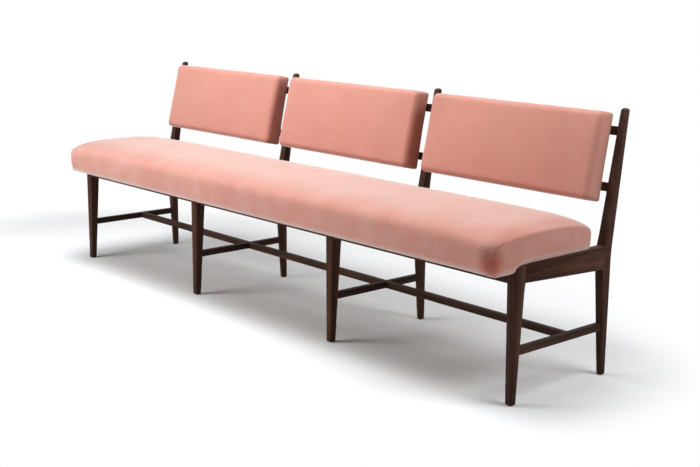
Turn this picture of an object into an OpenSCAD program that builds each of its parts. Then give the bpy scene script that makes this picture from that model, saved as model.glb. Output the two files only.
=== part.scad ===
// Upholstered three-bay bench with a leaning back: four timber side frames carry a full-length
// seat and three separate back cushions. Millimetres, +Z up, +X along the bench.
// Each piece is drawn with y = 0 at the front faces of the front legs. The centred() module
// then moves it, so that the origin is at the bench's bottom centre.

/* [Layout] */
// Distance between the centres of neighbouring side frames
bay = 780; // [640:10:900]
// Overall height, to the tips of the back posts
total_h = 816; // [790:1:880]
// Height of the side rails' top edge, on which the seat board lies
rail_top = 409; // [390:1:430]
// Distance from the front legs' faces to the back posts at the rails' top
frame_depth = 404; // [380:1:450]

/* [Front legs] */
// Width of a front leg at the rails
leg_w = 35; // [32:1:44]
// Depth of a front leg at the rails
leg_d = 39; // [34:1:44]
// Width of a front foot
foot_w = 22; // [17:1:28]
// Depth of a front foot
foot_d = 22; // [17:1:26]
// Radius of the leg's rounded top front corner
leg_corner_r = 12; // [6:1:14]

/* [Back posts] */
// Width of a post at the rails
post_w = 32; // [30:1:40]
// Depth of a post at the middle of its bend
post_d = 32; // [30:1:40]
// Width of a post at its tip
post_tip_w = 21; // [20:1:28]
// Depth of a post at its tip
post_tip_d = 19; // [18:0.5:24]
// Height of a post's rounded tip
post_round_h = 8.5; // [7:0.5:10]
// Width of a back foot
heel_w = 18; // [16:1:28]
// Depth of a back foot
heel_d = 20; // [16:1:26]
// How far a back foot stands behind the post's face at the rails
heel_kick = 21; // [8:1:30]
// Lean of the posts' front faces and of the cushions' backs, in degrees
back_lean = 11.2; // [8:0.1:13]
// Lean of the short joint between post and side rail, in degrees
joint_lean = 4; // [2:0.5:6]
// Height of the bend between the straight leg and the straight upper post
bend_h = 90; // [50:5:110]

/* [Rails] */
// Thickness of the side rails
side_rail_t = 28; // [26:1:30]
// Depth of a side rail at the front leg
side_rail_front_h = 54; // [50:1:64]
// Depth of a side rail at the back post
side_rail_back_h = 72; // [66:1:84]
// Thickness of the front and rear seat rails
seat_rail_t = 22; // [20:1:24]
// How far the front rails stand back from the legs' faces
front_rail_setback = 0.5; // [0:0.5:3]
// Depth of the rear seat rails
rear_rail_h = 50; // [44:1:54]
// Distance from the rear seat rails to the posts
rear_rail_gap = 87; // [75:1:120]

/* [Stretchers] */
// Height of the stretchers' lower edge
stretcher_z = 145; // [110:1:200]
// Height of a stretcher's section
stretcher_h = 22; // [20:1:30]
// Thickness of a stretcher
stretcher_t = 18; // [16:1:22]
// Distance from the front legs' faces to the long stretcher
long_stretcher_y = 250; // [180:1:300]

/* [Back rails] */
// Height of a back rail's section
back_rail_h = 27; // [22:1:30]
// Thickness of a back rail
back_rail_t = 14; // [12:0.5:14.5]
// Distance along the back from a cushion's bottom edge to the lower rail
lower_rail_up = 38; // [28:1:60]
// Distance along the back from the upper rail to a cushion's top edge
upper_rail_down = 41; // [30:1:60]
// How far the cushions' backs lie behind the posts' front faces
cushion_let_in = 6; // [3:0.5:6]

/* [Joints] */
// Length of the side rails' tenons
side_tenon_l = 13; // [10:1:14]
// Length of the tenons of the seat rails and stretchers
cross_tenon_l = 9; // [6:1:10]
// Length of the back rails' tenons
back_tenon_l = 8; // [5:1:8]
// Thickness of a tenon
tenon_t = 8; // [6:1:9]
// Shoulder above and below a tenon
shoulder = 5; // [3:1:6]
// Glue clearance around a tenon or lap
joint_gap = 0.1; // [0.05:0.05:0.3]

/* [Seat] */
// How far the seat's front bulges past the legs' faces
seat_overhang = 99; // [95:1:115]
// Distance from the seat's back to the posts
seat_back_gap = 54; // [40:1:70]
// How far the seat's ends stand back from the end frames' outer faces
seat_end_inset = 2; // [0:1:12]
// Height of the seat's crown above the side rails
seat_crown_h = 105; // [85:1:120]
// Height of the seat's widest line above the side rails
seat_belly_h = 46; // [38:1:54]
// How far the front lip hangs below the side rails' top
seat_lip_h = 21; // [14:1:28]
// Distance from the front lip to the legs' faces
seat_lip_gap = 12; // [8:1:14]
// How far the seat's front is drawn in at its lower edge
seat_front_tuck = 13; // [6:1:16]
// How far the seat's back is drawn in at its lower edge
seat_back_tuck = 5; // [2:1:8]
// Radius of the seat's front corners, seen from above
seat_corner_r = 60; // [44:1:64]
// Radius of the seat's rear corners, seen from above
seat_rear_corner_r = 20; // [16:1:24]
// How far the crown falls at the seat's ends
seat_end_drop = 22; // [14:1:34]
// Distance over which the crown falls at the seat's ends
seat_end_run = 130; // [110:5:180]
// Squareness of the seat's middle section, where 2 is an ellipse
seat_squareness = 4.5; // [3.5:0.1:6]
// Squareness of the seat's end sections
seat_end_squareness = 2.5; // [2.2:0.1:3.2]
// Distance over which the sections grow squarer from the seat's ends
seat_square_run = 320; // [200:10:400]
// Thickness of the seat board
seat_board_t = 18; // [15:1:22]
// Distance from the seat's widest front line to the board's front edge
seat_board_setback = 24; // [20:1:30]
// Distance from the seat's ends and back to the board's edges
seat_board_inset = 9; // [6:1:12]

/* [Back cushions] */
// Gap between neighbouring back cushions
cushion_gap = 62; // [50:1:90]
// Height of a back cushion, along the back
cushion_h = 277; // [240:1:280]
// Thickness of a back cushion at its bottom
cushion_bottom_t = 73; // [56:1:76]
// Thickness of a back cushion at its top
cushion_top_t = 62; // [50:1:70]
// Crown of a back cushion's front
cushion_crown = 6; // [2:1:10]
// How far a back cushion's sides are drawn in between its corners
cushion_draw_in = 2; // [0:0.5:4]
// Radius of a back cushion's front edges
cushion_front_r = 20; // [12:1:24]
// Radius of a back cushion's rear edges
cushion_rear_r = 8; // [5:1:10]
// Height of a back cushion's lower rear edge above the side rails
cushion_up = 120; // [110:1:135]
// Thickness of the plywood panel in a back cushion
panel_t = 12; // [9:1:15]
// Distance from a cushion's outline to its panel's edges
panel_inset = 12; // [11:1:16]
// Width of the cover that is turned onto a cushion's back
cover_margin = 26; // [18:1:27]

/* [Cloth and hardware] */
// Thickness of the velvet covers and linings
cover_t = 1.8; // [1.2:0.1:2.4]
// Clearance between a cover and what it holds
cover_gap = 0.3; // [0.2:0.1:0.6]
// Length of a corner block along each rail
block_l = 45; // [38:1:55]
// Height of a corner block
block_h = 28; // [22:1:34]
// Distance from the middle of a back rail to its outer screws
back_screw_x = 250; // [150:10:280]
// Length of a back screw's shank
back_screw_l = 24; // [21:1:26]
// How far a seat screw reaches into the seat board
seat_screw_grip = 12; // [8:1:14]
// Radius of a screw's shank
screw_r = 2; // [1.5:0.1:2.4]
// Radius of a screw's head
screw_head_r = 4; // [3.5:0.1:5]
// Height of a screw's head
screw_head_h = 2.4; // [2:0.1:3]
// Clearance between a screw and its hole
screw_gap = 0.1; // [0.05:0.05:0.2]
// Radius of a foot pad
pad_r = 7.5; // [6:0.5:8]
// Thickness of a foot pad
pad_t = 2.5; // [2:0.5:5]

/* [Hidden] */

wood = "#4a2f25";
pale_wood = "#b08d62";
plywood = "#c9a877";
velvet = "#e79c8b";
foam = "#f1e6c8";
steel = "#a8a8a8";
felt = "#2b2b2b";

frames = 4;
bays = frames - 1;
// Overshoot that carries a cutting tool clear of the faces it cuts through
over = 1;
// Facets of round hardware
round_fn = 32;

function frame_x(i) = (i - (frames + 1) / 2) * bay;
function bay_x(i) = (i - (bays + 1) / 2) * bay;
end_face_x = frame_x(frames) + leg_w / 2;

// Points of a curve that leaves a towards b and reaches c from b
function bend(a, b, c, steps) =
    [for (i = [0 : steps]) let (t = i / steps) (1 - t) * (1 - t) * a + 2 * t * (1 - t) * b + t * t * c];

// Points of a round arc, anticlockwise between two angles
function arc(centre, r, from, to, steps) =
    [for (i = [0 : steps]) let (a = from + (to - from) * i / steps) centre + r * [cos(a), sin(a)]];

// How far a rounded edge of radius r is drawn in at a distance from the face it leaves
function pull(distance, r) = distance >= r ? 0 : r - sqrt(r * r - (r - distance) * (r - distance));

module centred() {
    translate([0, -mid_y, 0]) children();
}

// A box given by its lowest and highest corners
module box(low, high) {
    translate(low) cube(high - low);
}

// A plate with its outline in the Y-Z plane, centred on x = 0
module side_plate(outline, thickness) {
    rotate([90, 0, 90]) translate([0, 0, -thickness / 2]) linear_extrude(thickness) polygon(outline);
}

// A plate with its outline in the X-Z plane, from y = y0 to y = y1
module front_plate(outline, y0, y1) {
    translate([0, y1, 0]) rotate([90, 0, 0]) linear_extrude(y1 - y0) polygon(outline);
}

// A closed skin over a row of rings of points, fanned from a centre point at each end
module skin(rings, first, last) {
    n = len(rings[0]);
    m = len(rings);
    polyhedron(
        points = concat([for (ring = rings, point = ring) point], [first, last]),
        faces = concat(
            [for (r = [0 : m - 2], k = [0 : n - 1]) [r * n + k, (r + 1) * n + k, r * n + (k + 1) % n]],
            [for (r = [0 : m - 2], k = [0 : n - 1])
                [(r + 1) * n + k, (r + 1) * n + (k + 1) % n, r * n + (k + 1) % n]],
            [for (k = [0 : n - 1]) [m * n, k, (k + 1) % n]],
            [for (k = [0 : n - 1]) [m * n + 1, (m - 1) * n + (k + 1) % n, (m - 1) * n + k]]
        )
    );
}

/* Faces of the legs and posts, as distances from the front legs' faces at height z */

side_rail_front_z = rail_top - side_rail_front_h;
side_rail_back_z = rail_top - side_rail_back_h;

function leg_back(z) = foot_d + (leg_d - foot_d) * min(1, z / side_rail_front_z);
function leg_half_w(z) = (foot_w + (leg_w - foot_w) * min(1, z / side_rail_front_z)) / 2;

// A post's front face above, beside and below the side rail
function post_face(z) = frame_depth + (z - rail_top) * tan(back_lean);
function joint_face(z) = frame_depth + (z - rail_top) * tan(joint_lean);
function heel_face(z) = heel_y + (joint_face(side_rail_back_z) - heel_y) * z / side_rail_back_z;
heel_y = joint_face(side_rail_back_z) + heel_kick;
function post_half_w(z) =
    (post_w + (post_tip_w - post_w) * (z - rail_top) / (tip_z - rail_top)) / 2;

// The rounded tip, and the bend of the rear face between leg and post
tip_z = total_h - post_round_h;
tip_back_y = post_face(total_h) + post_tip_d;
bend_mid_z = rail_top - side_rail_front_h / 2;
bend_mid_y = joint_face(bend_mid_z) + post_d;
lower_slope = (bend_mid_y - heel_y - heel_d) / bend_mid_z;
upper_slope = (tip_back_y - bend_mid_y) / (total_h - bend_mid_z);

// The rearmost point of the tip's curve, and the middle of the bench's depth
tip_start_y = tip_back_y - upper_slope * post_round_h;
tip_end_y = tip_back_y - post_tip_d / 2;
rear_y = (tip_start_y * tip_end_y - tip_back_y * tip_back_y) / (tip_start_y - 2 * tip_back_y + tip_end_y);
mid_y = (rear_y - seat_overhang) / 2;

/* Places of the rails */

// The end frames' side rails are flush with the outer faces, the others are central
rail_shift = (leg_w - side_rail_t) / 2;
function rail_x(i) = frame_x(i) + (i == 1 ? -rail_shift : i == frames ? rail_shift : 0);
// Inner faces of the front legs and of the side rails on both sides of a bay
function leg_left(i) = frame_x(i) + leg_w / 2;
function leg_right(i) = frame_x(i + 1) - leg_w / 2;
function rail_left(i) = rail_x(i) + side_rail_t / 2;
function rail_right(i) = rail_x(i + 1) - side_rail_t / 2;
front_rail_back_y = front_rail_setback + seat_rail_t;
rear_rail_y = frame_depth - rear_rail_gap - seat_rail_t;
stretcher_top = stretcher_z + stretcher_h;
lap_z = stretcher_z + stretcher_h / 2;
long_stretcher_end = frame_x(frames) - stretcher_t / 2;

/* Tenons. The tenoned piece has them at size, and the mortised piece grown by the glue clearance */

module side_rail_tenons(x, grow) {
    z0 = side_rail_front_z + shoulder - grow;
    z1 = rail_top - leg_corner_r - shoulder / 2 + grow;
    half = tenon_t / 2 + grow;
    box([x - half, leg_d - side_tenon_l - grow, z0], [x + half, leg_d + over, z1]);
    box([x - half, joint_face(side_rail_back_z) - over, z0], [x + half, frame_depth + side_tenon_l + grow, z1]);
}

module side_stretcher_tenons(x, grow) {
    z0 = stretcher_z + shoulder;
    z1 = stretcher_top - shoulder;
    half = tenon_t / 2 + grow;
    box([x - half, leg_back(z0) - cross_tenon_l - grow, z0 - grow], [x + half, leg_back(z1) + over, z1 + grow]);
    box([x - half, heel_face(z1) - over, z0 - grow], [x + half, heel_face(z0) + cross_tenon_l + grow, z1 + grow]);
}

// Tenons at both ends of a rail that runs along X from x0 to x1, behind the plane y
module cross_tenons(x0, x1, y, rail_t, z0, z1, grow) {
    y0 = y + (rail_t - tenon_t) / 2 - grow;
    y1 = y + (rail_t + tenon_t) / 2 + grow;
    box([x0 - cross_tenon_l - grow, y0, z0 - grow], [x0 + over, y1, z1 + grow]);
    box([x1 - over, y0, z0 - grow], [x1 + cross_tenon_l + grow, y1, z1 + grow]);
}

module front_rail_tenons(i, grow) {
    cross_tenons(leg_left(i), leg_right(i), front_rail_setback, seat_rail_t,
                 side_rail_front_z + shoulder, rail_top - leg_corner_r - shoulder, grow);
}

module rear_rail_tenons(i, grow) {
    cross_tenons(rail_left(i), rail_right(i), rear_rail_y, seat_rail_t,
                 rail_top - rear_rail_h + shoulder, rail_top - shoulder, grow);
}

module long_stretcher_tenons(grow) {
    cross_tenons(-long_stretcher_end, long_stretcher_end, long_stretcher_y, stretcher_t,
                 stretcher_z + shoulder, stretcher_top - shoulder, grow);
}

/* The leaning back: x along the bench, y behind the cushions' backs, z up from their lower edge */

back_z = rail_top + cushion_up;
back_y = post_face(back_z) + cushion_let_in / cos(back_lean);
upper_rail_up = cushion_h - upper_rail_down - back_rail_h;
rail_ups = [lower_rail_up, upper_rail_up];

module leaning() {
    translate([0, back_y, back_z]) rotate([-back_lean, 0, 0]) children();
}

// Inner faces of the posts on both sides of a bay, at a distance up the back rails' rear faces
function back_post_half_w(up) = post_half_w(back_z + up * cos(back_lean) - back_rail_t * sin(back_lean));
function post_left(i, up) = frame_x(i) + back_post_half_w(up);
function post_right(i, up) = frame_x(i + 1) - back_post_half_w(up);

module back_rail_tenons(i, up, grow) {
    y0 = (back_rail_t - tenon_t) / 2 - grow;
    y1 = (back_rail_t + tenon_t) / 2 + grow;
    z0 = up + shoulder - grow;
    z1 = up + back_rail_h - shoulder + grow;
    leaning() {
        box([post_left(i, up) - back_tenon_l - grow, y0, z0], [post_left(i, up) + over, y1, z1]);
        box([post_right(i, up) - over, y0, z0], [post_right(i, up) + back_tenon_l + grow, y1, z1]);
    }
}

/* Side frames */

module front_leg(i) {
    corner = bend([0, rail_top - leg_corner_r], [0, rail_top], [2 * leg_corner_r, rail_top], 6);
    foot_half_w = leg_half_w(pad_t);
    half_w = leg_w / 2;
    color(wood) centred() difference() {
        translate([frame_x(i), 0, 0]) intersection() {
            side_plate(concat([[0, pad_t]], corner, [
                [leg_d, rail_top],
                [leg_d, side_rail_front_z],
                [leg_back(pad_t), pad_t]
            ]), leg_w);
            front_plate([
                [-foot_half_w, pad_t],
                [foot_half_w, pad_t],
                [half_w, side_rail_front_z],
                [half_w, rail_top],
                [-half_w, rail_top],
                [-half_w, side_rail_front_z]
            ], -over, leg_d + over);
        }
        side_rail_tenons(rail_x(i), joint_gap);
        side_stretcher_tenons(frame_x(i), joint_gap);
        if (i > 1) front_rail_tenons(i - 1, joint_gap);
        if (i < frames) front_rail_tenons(i, joint_gap);
    }
}

module back_post(i) {
    rear_bend = bend([bend_mid_y - lower_slope * bend_h / 2, bend_mid_z - bend_h / 2],
                     [bend_mid_y, bend_mid_z],
                     [bend_mid_y + upper_slope * bend_h / 2, bend_mid_z + bend_h / 2], 8);
    tip_back = bend([tip_start_y, tip_z], [tip_back_y, total_h], [tip_end_y, total_h], 6);
    tip_front = bend([tip_end_y, total_h], [post_face(total_h), total_h], [post_face(tip_z), tip_z], 6);
    tip_right = bend([post_tip_w / 2, tip_z], [post_tip_w / 2, total_h], [0, total_h], 6);
    tip_left = bend([0, total_h], [-post_tip_w / 2, total_h], [-post_tip_w / 2, tip_z], 6);
    foot_half_w = heel_w / 2;
    half_w = post_w / 2;
    color(wood) centred() difference() {
        translate([frame_x(i), 0, 0]) intersection() {
            side_plate(concat(
                [[heel_face(pad_t), pad_t], [heel_y + heel_d, pad_t]],
                rear_bend, tip_back, tip_front,
                [[frame_depth, rail_top], [joint_face(side_rail_back_z), side_rail_back_z]]
            ), post_w);
            front_plate(concat(
                [[-foot_half_w, pad_t], [foot_half_w, pad_t], [half_w, side_rail_back_z], [half_w, rail_top]],
                tip_right, tip_left,
                [[-half_w, rail_top], [-half_w, side_rail_back_z]]
            ), 0, tip_back_y + post_d);
        }
        side_rail_tenons(rail_x(i), joint_gap);
        side_stretcher_tenons(frame_x(i), joint_gap);
        for (up = rail_ups) {
            if (i > 1) back_rail_tenons(i - 1, up, joint_gap);
            if (i < frames) back_rail_tenons(i, up, joint_gap);
        }
    }
}

module side_rail(i) {
    color(wood) centred() difference() {
        union() {
            translate([rail_x(i), 0, 0]) side_plate([
                [leg_d, side_rail_front_z],
                [joint_face(side_rail_back_z), side_rail_back_z],
                [frame_depth, rail_top],
                [leg_d, rail_top]
            ], side_rail_t);
            side_rail_tenons(rail_x(i), 0);
        }
        if (i > 1) rear_rail_tenons(i - 1, joint_gap);
        if (i < frames) rear_rail_tenons(i, joint_gap);
    }
}

// The middle stretchers are halved over the long stretcher, the outer ones take its tenons
module side_stretcher(i) {
    x = frame_x(i);
    color(wood) centred() difference() {
        union() {
            translate([x, 0, 0]) side_plate([
                [leg_back(stretcher_z), stretcher_z],
                [heel_face(stretcher_z), stretcher_z],
                [heel_face(stretcher_top), stretcher_top],
                [leg_back(stretcher_top), stretcher_top]
            ], stretcher_t);
            side_stretcher_tenons(x, 0);
        }
        if (i > 1 && i < frames)
            box([x - stretcher_t, long_stretcher_y - joint_gap, stretcher_z - over],
                [x + stretcher_t, long_stretcher_y + stretcher_t + joint_gap, lap_z]);
        long_stretcher_tenons(joint_gap);
    }
}

/* Rails and stretcher along the bench */

module long_stretcher() {
    half_lap = stretcher_t / 2 + joint_gap;
    color(wood) centred() {
        difference() {
            box([-long_stretcher_end, long_stretcher_y, stretcher_z],
                [long_stretcher_end, long_stretcher_y + stretcher_t, stretcher_top]);
            for (i = [2 : frames - 1])
                box([frame_x(i) - half_lap, long_stretcher_y - over, lap_z],
                    [frame_x(i) + half_lap, long_stretcher_y + stretcher_t + over, stretcher_top + over]);
        }
        long_stretcher_tenons(0);
    }
}

module front_rail(i) {
    color(wood) centred() {
        box([leg_left(i), front_rail_setback, side_rail_front_z], [leg_right(i), front_rail_back_y, rail_top]);
        front_rail_tenons(i, 0);
    }
}

module rear_rail(i) {
    color(wood) centred() {
        box([rail_left(i), rear_rail_y, rail_top - rear_rail_h],
            [rail_right(i), rear_rail_y + seat_rail_t, rail_top]);
        rear_rail_tenons(i, 0);
    }
}

module back_rail(i, up) {
    top = up + back_rail_h;
    color(wood) centred() difference() {
        union() {
            leaning() front_plate([
                [post_left(i, up), up],
                [post_right(i, up), up],
                [post_right(i, top), top],
                [post_left(i, top), top]
            ], 0, back_rail_t);
            back_rail_tenons(i, up, 0);
        }
        back_screw_holes(i);
    }
}

/* Corner blocks, glued into the four corners of a bay under the seat board */

// Each corner: its x and y, and the directions in which the block reaches from it
function block_corners(i) = [
    [leg_left(i), front_rail_back_y, 1, 1],
    [leg_right(i), front_rail_back_y, -1, 1],
    [rail_left(i), rear_rail_y, 1, -1],
    [rail_right(i), rear_rail_y, -1, -1]
];
// The screw stands in the middle of the block's triangle
block_screw = block_l / (2 + sqrt(2));
function block_screw_xy(corner) =
    [corner[0] + corner[2] * block_screw, corner[1] + corner[3] * block_screw];

module corner_blocks(i) {
    color(pale_wood) centred() for (corner = block_corners(i)) difference() {
        translate([corner[0], corner[1], rail_top - block_h])
            linear_extrude(block_h) polygon([[0, 0], [corner[2] * block_l, 0], [0, corner[3] * block_l]]);
        translate(block_screw_xy(corner)) translate([0, 0, rail_top - block_h - over])
            cylinder(h = block_h + 2 * over, r = screw_r + screw_gap, $fn = round_fn);
    }
}

/* Seat */

seat_half_l = end_face_x - seat_end_inset;
seat_back_y = frame_depth - seat_back_gap;
seat_lip_z = rail_top - seat_lip_h;
board_half_l = seat_half_l - seat_board_inset;
board_front_y = seat_board_setback - seat_overhang;
board_back_y = seat_back_y - seat_board_inset;
board_front_r = seat_corner_r - seat_board_inset;
board_rear_r = seat_rear_corner_r - seat_board_inset;
board_top = rail_top + seat_board_t;
nosing_half_l = seat_half_l - seat_corner_r;

// How far the crown has fallen, and the section's squareness, at a distance from the seat's end
function end_fall(distance) = seat_end_drop * pull(distance, seat_end_run) / seat_end_run;
function squareness(distance) =
    seat_squareness - (seat_squareness - seat_end_squareness) * pow(max(0, 1 - distance / seat_square_run), 2);
function signed_pow(value, power) = sign(value) * pow(abs(value), power);

// One section of the seat at a distance from its end. Depth is how far inside the outer form
// it lies, and open carries the underside past the outer form's, to leave it open
function seat_ring(distance, side, depth, open) = let (
    x = side * (seat_half_l - distance),
    front = depth + pull(distance - depth, seat_corner_r - depth) - seat_overhang,
    back = seat_back_y - depth - pull(distance - depth, seat_rear_corner_r - depth),
    belly = rail_top + seat_belly_h,
    crown = rail_top + seat_crown_h - end_fall(distance) - depth,
    middle = (front + back) / 2,
    half = (back - front) / 2,
    power = 2 / squareness(distance),
    lip_z = seat_lip_z + depth,
    lip_y = open - seat_lip_gap,
    under_z = rail_top - open
) [for (point = concat(
    [[back - seat_back_tuck, under_z], [back - seat_back_tuck / 4, (under_z + belly) / 2]],
    [for (a = [0 : 11.25 : 180])
        [middle + half * signed_pow(cos(a), power), belly + (crown - belly) * pow(sin(a), power)]],
    [for (s = [1 / 3, 2 / 3, 1]) [front + seat_front_tuck * s * s, belly + (lip_z - belly) * s]],
    [[lip_y, lip_z], [lip_y, under_z]]
)) [x, point[0], point[1]]];

module seat_form(depth, open) {
    // Distances from each end at which a section is drawn, then evenly spaced sections
    near = [for (s = [0, 0.05, 0.2, 0.5, 1]) depth + s * seat_corner_r];
    far = [for (s = [0.65, 1, 1.6]) s * seat_end_run];
    steps = 4;
    run = (seat_half_l - far[2]) / steps;
    middle = [for (s = [1 : steps - 1]) far[2] + s * run];
    half_row = concat(near, far, middle);
    rings = concat(
        [for (d = half_row) seat_ring(d, -1, depth, open)],
        [seat_ring(seat_half_l, 1, depth, open)],
        [for (k = [len(half_row) - 1 : -1 : 0]) seat_ring(half_row[k], 1, depth, open)]
    );
    // The caps fan from a point over the lip, which sees the whole section
    cap_y = (seat_corner_r - seat_overhang - seat_lip_gap) / 2;
    cap_z = rail_top + seat_belly_h / 2;
    end_x = seat_half_l - depth;
    skin(rings, [-end_x, cap_y, cap_z], [end_x, cap_y, cap_z]);
}

// The board's outline between two heights, its corners rounded like the seat's
module board_plate(z0, z1) {
    front_x = board_half_l - board_front_r;
    rear_x = board_half_l - board_rear_r;
    y0 = board_front_y + board_front_r;
    y1 = board_back_y - board_rear_r;
    translate([0, 0, z0]) linear_extrude(z1 - z0) polygon(concat(
        arc([front_x, y0], board_front_r, -90, 0, 6),
        arc([rear_x, y1], board_rear_r, 0, 90, 4),
        arc([-rear_x, y1], board_rear_r, 90, 180, 4),
        arc([-front_x, y0], board_front_r, 180, 270, 6)
    ));
}

// The batten under the board's front edge, down to a height
module nosing_batten(z0) {
    box([-nosing_half_l, board_front_y, z0], [nosing_half_l, -seat_lip_gap, rail_top]);
}

module seat_board() {
    color(plywood) centred() difference() {
        board_plate(rail_top, board_top);
        seat_screw_shanks(screw_gap);
    }
}

module seat_nosing() {
    color(pale_wood) centred() nosing_batten(seat_lip_z + cover_t);
}

module seat_foam() {
    color(foam) centred() difference() {
        seat_form(cover_t + cover_gap, over);
        board_plate(rail_top - 2 * over, board_top);
        nosing_batten(seat_lip_z);
        box([-end_face_x, -seat_lip_gap, seat_lip_z], [end_face_x, frame_depth, rail_top]);
    }
}

module seat_cover() {
    color(velvet) centred() difference() {
        seat_form(0, 0);
        seat_form(cover_t, over);
    }
}

/* Back cushions */

cushion_w = bay - cushion_gap;
panel_back = -cover_t;
panel_front = panel_back - panel_t;

// One level section of a back cushion, at a height above its lower edge. Depth is how far
// inside the outer form it lies
function cushion_ring(height, depth) = let (
    top_or_bottom = min(height, cushion_h - height) - depth,
    front_r = cushion_front_r - depth,
    rear_r = cushion_rear_r - depth,
    bow = 1 - pow(2 * height / cushion_h - 1, 2),
    half = cushion_w / 2 - depth - pull(top_or_bottom, rear_r) - cushion_draw_in * bow,
    thick = cushion_bottom_t + (cushion_top_t - cushion_bottom_t) * height / cushion_h,
    front = depth + pull(top_or_bottom, front_r) - thick,
    rear = -depth - pull(top_or_bottom, rear_r),
    flat = half - front_r
) [for (point = concat(
    arc([half - rear_r, rear - rear_r], rear_r, 0, 90, 2),
    arc([rear_r - half, rear - rear_r], rear_r, 90, 180, 2),
    arc([front_r - half, front + front_r], front_r, 180, 270, 3),
    [for (s = [-0.8, -0.45, 0, 0.45, 0.8]) [s * flat, front - cushion_crown * bow * (1 - s * s)]],
    arc([half - front_r, front + front_r], front_r, 270, 360, 3)
)) [point[0], point[1], height]];

module cushion_form(depth) {
    near = [for (s = [0, 0.12, 0.45, 1]) depth + s * (cushion_front_r - depth)];
    middle = [for (s = [0.3, 0.5, 0.7]) s * cushion_h];
    heights = concat(near, middle, [for (k = [len(near) - 1 : -1 : 0]) cushion_h - near[k]]);
    cap_y = -cushion_bottom_t / 2;
    skin([for (h = heights) cushion_ring(h, depth)], [0, cap_y, depth], [0, cap_y, cushion_h - depth]);
}

// A plate parallel to a cushion's back, set in from the cushion's outline
module cushion_plate(inset, y0, y1) {
    half = cushion_w / 2 - cushion_draw_in - inset;
    box([-half, y0, inset], [half, y1, cushion_h - inset]);
}

module in_bay(i) {
    centred() leaning() translate([bay_x(i), 0, 0]) children();
}

module back_cover(i) {
    color(velvet) in_bay(i) difference() {
        cushion_form(0);
        cushion_form(cover_t);
        cushion_plate(cover_margin, -cover_t - over, over);
    }
}

module back_foam(i) {
    color(foam) in_bay(i) difference() {
        cushion_form(cover_t + cover_gap);
        cushion_plate(panel_inset, panel_front, over);
    }
}

module back_panel(i) {
    color(plywood) centred() difference() {
        leaning() translate([bay_x(i), 0, 0]) cushion_plate(panel_inset, panel_front, panel_back);
        back_screw_holes(i);
    }
}

module back_lining(i) {
    color(velvet) centred() difference() {
        leaning() translate([bay_x(i), 0, 0]) cushion_plate(cover_margin + cover_gap, panel_back, 0);
        back_screw_holes(i);
    }
}

/* Screws and foot pads */

// Shanks of the seat screws, from the corner blocks' undersides into the seat board
module seat_screw_shanks(grow) {
    for (i = [1 : bays], corner = block_corners(i))
        translate(block_screw_xy(corner)) translate([0, 0, rail_top - block_h])
            cylinder(h = block_h + seat_screw_grip + grow, r = screw_r + grow, $fn = round_fn);
}

module seat_screws() {
    color(steel) centred() {
        seat_screw_shanks(0);
        for (i = [1 : bays], corner = block_corners(i))
            translate(block_screw_xy(corner)) translate([0, 0, rail_top - block_h - screw_head_h])
                cylinder(h = screw_head_h, r = screw_head_r, $fn = round_fn);
    }
}

// Places the children at each back screw of a bay, with +Z into the cushion from a rail's rear face
module at_back_screws(i) {
    leaning() for (up = rail_ups, x = [-back_screw_x, 0, back_screw_x])
        translate([bay_x(i) + x, back_rail_t, up + back_rail_h / 2]) rotate([90, 0, 0]) children();
}

module back_screw_holes(i) {
    at_back_screws(i) translate([0, 0, -over])
        cylinder(h = over + back_screw_l + screw_gap, r = screw_r + screw_gap, $fn = round_fn);
}

module back_screws() {
    color(steel) centred() for (i = [1 : bays]) at_back_screws(i) {
        cylinder(h = back_screw_l, r = screw_r, $fn = round_fn);
        translate([0, 0, -screw_head_h]) cylinder(h = screw_head_h, r = screw_head_r, $fn = round_fn);
    }
}

module foot_pads() {
    color(felt) centred() for (i = [1 : frames], y = [foot_d / 2, heel_y + heel_d / 2])
        translate([frame_x(i), y, 0]) cylinder(h = pad_t, r = pad_r, $fn = round_fn);
}

front_leg(1);  // front_leg_1
front_leg(2);  // front_leg_2
front_leg(3);  // front_leg_3
front_leg(4);  // front_leg_4
back_post(1);  // back_post_1
back_post(2);  // back_post_2
back_post(3);  // back_post_3
back_post(4);  // back_post_4
side_rail(1);  // side_rail_1
side_rail(2);  // side_rail_2
side_rail(3);  // side_rail_3
side_rail(4);  // side_rail_4
side_stretcher(1);  // side_stretcher_1
side_stretcher(2);  // side_stretcher_2
side_stretcher(3);  // side_stretcher_3
side_stretcher(4);  // side_stretcher_4
long_stretcher();
front_rail(1);  // front_rail_1
front_rail(2);  // front_rail_2
front_rail(3);  // front_rail_3
rear_rail(1);  // rear_rail_1
rear_rail(2);  // rear_rail_2
rear_rail(3);  // rear_rail_3
back_rail(1, lower_rail_up);  // lower_back_rail_1
back_rail(2, lower_rail_up);  // lower_back_rail_2
back_rail(3, lower_rail_up);  // lower_back_rail_3
back_rail(1, upper_rail_up);  // upper_back_rail_1
back_rail(2, upper_rail_up);  // upper_back_rail_2
back_rail(3, upper_rail_up);  // upper_back_rail_3
corner_blocks(1);  // corner_blocks_1
corner_blocks(2);  // corner_blocks_2
corner_blocks(3);  // corner_blocks_3
seat_board();
seat_nosing();
seat_foam();
seat_cover();
back_panel(1);  // back_panel_1
back_panel(2);  // back_panel_2
back_panel(3);  // back_panel_3
back_foam(1);  // back_foam_1
back_foam(2);  // back_foam_2
back_foam(3);  // back_foam_3
back_cover(1);  // back_cover_1
back_cover(2);  // back_cover_2
back_cover(3);  // back_cover_3
back_lining(1);  // back_lining_1
back_lining(2);  // back_lining_2
back_lining(3);  // back_lining_3
seat_screws();
back_screws();
foot_pads();
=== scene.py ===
"""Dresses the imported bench: walnut members, velvet cushions, a pale floor and studio light. Metres."""
import math

import bmesh
import bpy
import numpy as np
from mathutils import Matrix, Vector, noise


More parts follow.
